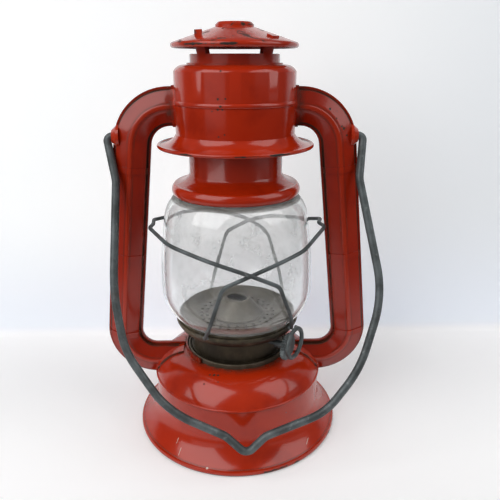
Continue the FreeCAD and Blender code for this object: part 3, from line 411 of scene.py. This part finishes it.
def red_enamel(name="red_enamel", lined=False, tube=False):
    """Glossy red-orange paint on tinplate, mottled, rubbed, chipped and soiled, with painted shade along
    creases, steps and the base rim.

    A lined piece is bare on its underside. A tube has a pressed bead along its crest with a painted highlight
    on it, is darker than the rest and has painted shade, broken up in patches, beside the bead and its lips.
    """
    g = Graph(name)
    x, y, z, radius = g.axes()
    soft = g.noise(22.0)
    fine = g.noise(260.0, 4.0, 0.6)
    colour = g.mix(soft.rise(0.42, 0.72) * 0.6, RED, RED_FADED)
    colour = g.mix(g.noise(55.0, 4.0).rise(0.50, 0.75) * 0.45, colour, RED_DEEP)

    bare = paint_wear(g, x, y, z, radius, fine)
    metal = g.mix(g.noise(160.0).rise(0.45, 0.65), BARE_STEEL, RUST)
    grime_and_shade = paint_grime_and_shade(g, x, y, z, radius, fine)
    crest = 0.0
    if tube:
        across = abs(tube_across(x, z))
        crest = across.fall(*CREST_BEAD)
        # Painted shade: dark lines in the creases beside the tube's lips and its crest bead, broken up in
        # patches
        crease_shade_patches = g.noise(60.0).rise(0.35, 0.60)
        grime_and_shade = grime_and_shade.most(abs(across - LIP_FOOT).fall(*LIP_SHADE_LINE) * (crease_shade_patches * 0.5 + 0.45))
        grime_and_shade = grime_and_shade.most(abs(across - CREST_FOOT).fall(*CREST_SHADE_LINE) * (crease_shade_patches * 0.3 + 0.12))
        colour = g.mix(0.5, colour, RED_DEEP)
        # Painted highlight: the crest bead is drawn in the lighter faded red
        colour = g.mix(crest * 0.5, colour, RED_FADED)
    # Brown dirt, and painted shade in creases, under the base rim and the step, and along the saddles
    colour = g.mix(grime_and_shade, colour, SHADE_AND_GRIME_BROWN)
    colour = g.mix(bare, colour, metal)
    pale = g.away(PALE_SPOT).fall(0.8, 1.0)
    for start, end in SCRATCHES:
        pale = pale.most(g.from_line(start, end).fall(0.00010, 0.00026) * 0.8)
    colour = g.mix(pale, colour, PRIMER)
    dull = bare.most(grime_and_shade * 0.6)
    if lined:
        start, top, slope = HOOD_SLOPE
        depth = top - (radius - start) * slope - z
        tin = depth.rise(*HOOD_SKIN) * radius.fall(*HOOD_HEM)
        colour = g.mix(tin, colour, g.mix(fine.rise(0.4, 0.7) * 0.5, TINPLATE, BARE_STEEL))
        dull = dull.most(tin)

    rough = 0.11 + soft * 0.08 + fine * 0.05 + dull * 0.35
    height = g.noise(35.0, 2.0) * 0.5 + g.noise(900.0, 2.0) * 0.02
    height = height - bare * 0.12 - pale * 0.08 + crest * 0.8
    shader = g.principled(
        Base_Color=colour, Roughness=rough, Metallic=bare * 0.35, Normal=g.bump(height, 0.0006, 0.5),
        IOR=1.40, Coat_Weight=(1 - dull) * 0.2, Coat_Roughness=0.05)
    return g.finish(shader)


def galvanised_wire():
    """Dull zinc wire: mottled grey-green with lighter rubbed spots and a little dirt."""
    g = Graph("galvanised_wire")
    colour = g.mix(g.noise(90.0, 4.0, 0.6).rise(0.35, 0.65), ZINC_DARK, ZINC)
    colour = g.mix(g.noise(300.0, 3.0, 0.6).rise(0.58, 0.76) * 0.6, colour, ZINC_LIGHT)
    colour = g.mix(g.noise(48.0).rise(0.66, 0.80) * 0.4, colour, RUST)
    rough = 0.42 + g.noise(200.0) * 0.22
    height = g.noise(700.0) + g.noise(160.0, 2.0)
    shader = g.principled(
        Base_Color=colour, Roughness=rough, Metallic=0.45, Normal=g.bump(height, 0.00012, 0.6))
    return g.finish(shader)


def tarnished(name, dark, middle, light, share):
    """Stained burner metal: two tones in blotches, with lighter rubbed streaks."""
    g = Graph(name)
    colour = g.mix(g.noise(60.0, 5.0, 0.6).rise(0.35, 0.68), dark, middle)
    streaks = g.noise(120.0, 4.0, 0.6, (1.0, 1.0, 0.3)).rise(0.52, 0.75)
    colour = g.mix(streaks * share, colour, light)
    rough = 0.38 + g.noise(150.0, 4.0) * 0.28
    shader = g.principled(
        Base_Color=colour, Roughness=rough, Metallic=0.55, Normal=g.bump(g.noise(420.0), 0.00010, 0.5))
    return g.finish(shader)


def globe_glass():
    """Clear wavy pressed glass with a sooty, dusty film, thicker at the foot and the top, and at the rear,
    where it is partly painted reflection.
    """
    g = Graph("globe_glass")
    _, y, z, _ = g.axes()
    glass = g.principled(
        Base_Color=GLASS_TINT, Roughness=0.015, Transmission_Weight=1.0, IOR=1.47,
        Normal=g.bump(g.noise(34.0, 2.0), 0.0006, 0.30))
    sooty = z.rise(*GLOBE_MOUTH)
    film = g.principled(Base_Color=g.mix(sooty, GLASS_FILM, GLASS_SOOT), Roughness=0.7)
    ends = z.fall(*GLOBE_FOOT) * 0.14 + z.rise(*GLOBE_TOP) * 0.06 + sooty * 0.55
    specks = g.noise(75.0, 5.0, 0.65).rise(0.45, 0.75)
    # Painted reflection: a thicker pale film over the rear of the globe, with dust specks, fades what is seen
    # through it
    rear = y.rise(*GLOBE_REAR) * (specks * 0.12 + 0.14)
    dust_and_reflection = ends + specks * 0.08 + 0.02 + rear
    clear = g.node("ShaderNodeBsdfTransparent", None, {"Color": GLASS_SHADOW})
    shadow = g.node("ShaderNodeLightPath", out="Is Shadow Ray")
    return g.finish(g.blend(shadow, g.blend(dust_and_reflection, glass, film), clear))


def wick_cotton():
    """Flat woven wick: a herringbone of fine yarn, charred along its top edge."""
    g = Graph("wick_cotton")
    x, _, z, _ = g.axes()
    yarn = (z * 5200.0 + abs(x * 4200.0).sine() * 1.6).sine() * 0.5 + 0.5
    colour = g.mix(yarn * 0.45, COTTON, RUST)
    burnt = (z + g.noise(200.0, 2.0) * WICK_UNEVEN).rise(*WICK_CHAR)
    colour = g.mix(burnt, colour, CHAR)
    shader = g.principled(Base_Color=colour, Roughness=0.92, Normal=g.bump(yarn, 0.0003, 0.7))
    return g.finish(shader)


def cork():
    """Cork washer with dark pores."""
    g = Graph("cork")
    pores = g.cells(900.0)
    colour = g.mix(pores.fall(0.15, 0.40) * 0.7, CORK, CORK_DARK)
    shader = g.principled(Base_Color=colour, Roughness=0.85, Normal=g.bump(pores, 0.0002, 0.6))
    return g.finish(shader)


# Finishes by name, and the pieces whose finish isn't named for their material slot
FINISHES = {
    "red_enamel": red_enamel(),
    "red_enamel_lined": red_enamel("red_enamel_lined", lined=True),
    "red_enamel_tube": red_enamel("red_enamel_tube", tube=True),
    "galvanised_wire": galvanised_wire(),
    "burner_metal": tarnished("burner_metal", BRONZE_DARK, BRONZE, BRONZE_LIGHT, 0.35),
    "burner_plate": tarnished("burner_plate", BRONZE_DARK, PLATE, TRAY_LIGHT, 0.3),
    "burner_tray": tarnished("burner_tray", TRAY_DARK, TRAY, TRAY_LIGHT, 0.45),
    "burner_rim": tarnished("burner_rim", BRONZE, RIM_METAL, RIM_METAL, 0.6),
    "solder": tarnished("solder", ZINC, SOLDER, SOLDER, 0.5),
    "globe_glass": globe_glass(),
    "wick_cotton": wick_cotton(),
    "cork": cork()}
OTHER_FINISH = {
    "hood": "red_enamel_lined",
    "air_plate": "burner_tray",
    "burner_cone": "burner_tray",
    "globe_plate": "burner_plate",
    "left_tube_front": "red_enamel_tube",
    "left_tube_rear": "red_enamel_tube",
    "right_tube_front": "red_enamel_tube",
    "right_tube_rear": "red_enamel_tube"}


def dress(piece, finish):
    """Gives a piece one finish all over."""
    piece.data.materials.clear()
    piece.data.materials.append(FINISHES[finish])


def soften(piece):
    """Smooth shading on a solid: its loose triangles are welded and parted again at its edges."""
    piece.data.polygons.foreach_set("use_smooth", np.ones(len(piece.data.polygons), dtype=bool))
    weld = piece.modifiers.new("weld", "WELD")
    weld.merge_threshold = WELD_GAP
    split = piece.modifiers.new("edges", "EDGE_SPLIT")
    split.split_angle = math.radians(EDGE_ANGLE)


for part in frame["record"]["subparts"]:
    node = frame["nodes"][part["node"]]
    dress(node, OTHER_FINISH.get(part["node"], part["material_slot"]))
    soften(node)


def sheet_mesh(name, points, closed=False):
    """Grid of points, rows by columns, as a mesh of quads; closed joins the last column to the first."""
    rows, columns = points.shape[:2]
    index = np.arange(rows * columns).reshape(rows, columns)
    if closed:
        index = np.concatenate([index, index[:, :1]], axis=1)
    corners = [index[:-1, :-1], index[:-1, 1:], index[1:, 1:], index[1:, :-1]]
    quads = np.stack(corners, axis=-1).reshape(-1, 4)
    mesh = bpy.data.meshes.new(name)
    mesh.from_pydata(points.reshape(-1, 3).tolist(), [], quads.tolist())
    mesh.polygons.foreach_set("use_smooth", np.ones(len(quads), dtype=bool))
    piece = bpy.data.objects.new(name, mesh)
    bpy.context.scene.collection.objects.link(piece)
    return piece


def added(piece, finish, body):
    """Dresses a new piece and hangs it on the body that it moves with."""
    dress(piece, finish)
    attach(piece, body)


def filler_thread():
    """Screw thread on the filler's neck, under the cap.

    A helix about the tilted filler axis with a pitch of 2 mm. At each turn angle the radius is that of the
    neck plus a crest that follows half a sine wave across the thread's width and fades out over the first and
    last third of a turn. The width runs downwards, so that the faces point outwards.
    """
    neck, crest, pitch, width, turns, start = 0.00645, 0.00022, 0.002, 0.0011, 1.5, 0.0012
    tilt = math.radians(FILLER_TILT)
    foot = np.array(FILLER_FOOT)
    right = np.array([1.0, 0.0, 0.0])
    axis = np.array([0.0, math.sin(tilt), math.cos(tilt)])
    side = np.array([0.0, math.cos(tilt), -math.sin(tilt)])
    turn = np.linspace(0.0, 2 * math.pi * turns, 121)[:, None]
    across = np.linspace(0.5, -0.5, 9)[None, :]
    fade = np.clip(np.minimum(turn, turn[-1] - turn) / (2 * math.pi / 3), 0.0, 1.0)
    radius = neck + crest * np.cos(across * math.pi) * fade
    along = start + pitch * turn / (2 * math.pi) + across * width
    outwards = np.cos(turn)[..., None] * right + np.sin(turn)[..., None] * side
    points = foot + radius[..., None] * outwards + along[..., None] * axis
    added(sheet_mesh("filler_thread", points), "red_enamel", "frame")


def guard_solder():
    """Solder at the guard's four feet: lumps between each wire and the plate's rim.

    Each lump is a ball drawn out along the rim and flattened, its radius rippled by two waves round it.
    """
    around = np.linspace(0.0, 2 * math.pi, 24, endpoint=False)[None, :]
    up = np.linspace(-math.pi / 2, math.pi / 2, 11)[:, None]
    rise = np.array([0.0, 0.0, 1.0])
    for number, azimuth in enumerate(GUARD_FEET):
        angle = math.radians(azimuth)
        out = np.array([math.cos(angle), math.sin(angle), 0.0])
        along = np.array([-math.sin(angle), math.cos(angle), 0.0])
        ripple = 1.0 + 0.08 * np.sin(2 * around + number) * np.cos(up)
        ripple = ripple + 0.05 * np.sin(5 * around + 3 * up)
        ball = (np.cos(up) * np.cos(around), np.cos(up) * np.sin(around), np.sin(up))
        lump = [ripple * half * share for half, share in zip(SOLDER_LUMP, ball)]
        points = out * GUARD_FOOT_RADIUS + rise * GUARD_FOOT_HEIGHT
        for share, way in zip(lump, (out, along, rise)):
            points = points + share[..., None] * way
        piece = sheet_mesh(f"guard_solder_{number + 1}", points, True)
        added(piece, "solder", "globe_carriage")


filler_thread()
guard_solder()


# Stage: paper floor and backdrop, lamps and camera


def paper():
    """Round of white paper on a dim floor, brighter as seen or mirrored than as a lamp, clear from behind."""
    g = Graph("paper")
    x, y, z, _ = g.axes()
    colour = g.mix(g.noise(3.0, 2.0).rise(0.2, 0.8) * 0.5, PAPER, PAPER_SHADE)
    wall = g.mix((x - z * WALL_SLANT).rise(*WALL_RIGHT), WALL_GLOW, WALL_GLOW_RIGHT)
    wall = g.mix(z.fall(*WALL_LOW), wall, WALL_GLOW_LOW)
    floor = g.mix(y.fall(*FLOOR_FRONT), FLOOR_GLOW, FLOOR_GLOW_FRONT)
    glow = g.mix(z.rise(*WALL_FOOT), floor, wall)
    back = y - PAPER_MIDDLE_Y
    off = (x * x + back * back).rise(PAPER_FADE[0] ** 2, PAPER_FADE[1] ** 2)
    colour = g.mix(off, colour, DIM_FLOOR)
    glow = g.mix(off, glow, NO_GLOW)
    lit = g.principled(Base_Color=colour, Roughness=0.75)
    seen = g.principled(Base_Color=colour, Roughness=0.75, Emission_Color=glow, Emission_Strength=1.0)
    rays = ("Is Camera Ray", "Is Glossy Ray", "Is Transmission Ray")
    direct, mirrored, through = [g.node("ShaderNodeLightPath", out=ray) for ray in rays]
    sheet = g.blend((direct + mirrored + through).least(1.0), lit, seen)
    gone = g.node("ShaderNodeBsdfTransparent")
    behind = g.node("ShaderNodeNewGeometry", out="Backfacing")
    return g.finish(g.blend(behind, sheet, gone))


def backdrop():
    """Floor and wall.

    The floor is a flat round, rings by spokes. The wall is a profile of depth and height, a quarter circle up
    from the floor and then straight, carried straight across.
    """
    finish = paper()
    ring = np.linspace(0.0, 1.0, 12)[:, None] ** 2 * FLOOR_RADIUS
    spoke = np.linspace(2 * math.pi, 0.0, 48, endpoint=False)[None, :]
    floor = np.stack(np.broadcast_arrays(ring * np.cos(spoke), ring * np.sin(spoke), 0.0), axis=-1)
    fold_y, fold_r, top, wide = 0.097, 0.006, 0.28, 0.6
    turn = np.linspace(0.0, math.pi / 2, 9)
    depth = np.concatenate([fold_y - fold_r + fold_r * np.sin(turn), [fold_y]])[:, None]
    height = np.concatenate([fold_r * 1.01 - fold_r * np.cos(turn), [top]])[:, None]
    across = np.linspace(-wide, wide, 3)[None, :]
    wall = np.stack(np.broadcast_arrays(across, depth, height), axis=-1)
    for piece in (sheet_mesh("paper_floor", floor, True), sheet_mesh("paper_wall", wall)):
        piece.data.materials.append(finish)


def panel(name, azimuth, elevation, wide, tall, power):
    """Soft lamp panel round the lantern, facing its middle; azimuth 0 is the front and 90 the right."""
    turn, lift = math.radians(azimuth), math.radians(elevation)
    back = Vector((math.sin(turn) * math.cos(lift), -math.cos(turn) * math.cos(lift), math.sin(lift)))
    lamp = bpy.data.lights.new(name, "AREA")
    lamp.shape = "RECTANGLE"
    lamp.size = wide
    lamp.size_y = tall
    lamp.energy = power
    placed = bpy.data.objects.new(name, lamp)
    placed.location = Vector(PANEL_AIM) + back * PANEL_DISTANCE
    placed.rotation_euler = (-back).to_track_quat("-Z", "Y").to_euler()
    placed.visible_camera = False
    bpy.context.scene.collection.objects.link(placed)


backdrop()
for row in PANELS:
    panel(*row)

world = bpy.data.worlds.new("studio")
world.use_nodes = True
world.node_tree.nodes["Background"].inputs["Color"].default_value = STUDIO_GREY
bpy.context.scene.world = world

camera = bpy.data.objects.new("camera", bpy.data.cameras.new("camera"))
camera.data.sensor_width = SENSOR
camera.data.lens = SENSOR * FOCAL_WIDTHS
camera.data.clip_start = 0.01
camera.location = CAMERA_PLACE
camera.rotation_euler = (math.radians(90.0 - CAMERA_PITCH), 0.0, math.radians(-CAMERA_YAW))
bpy.context.scene.collection.objects.link(camera)
bpy.context.scene.camera = camera
bpy.context.scene.view_settings.view_transform = "Standard"
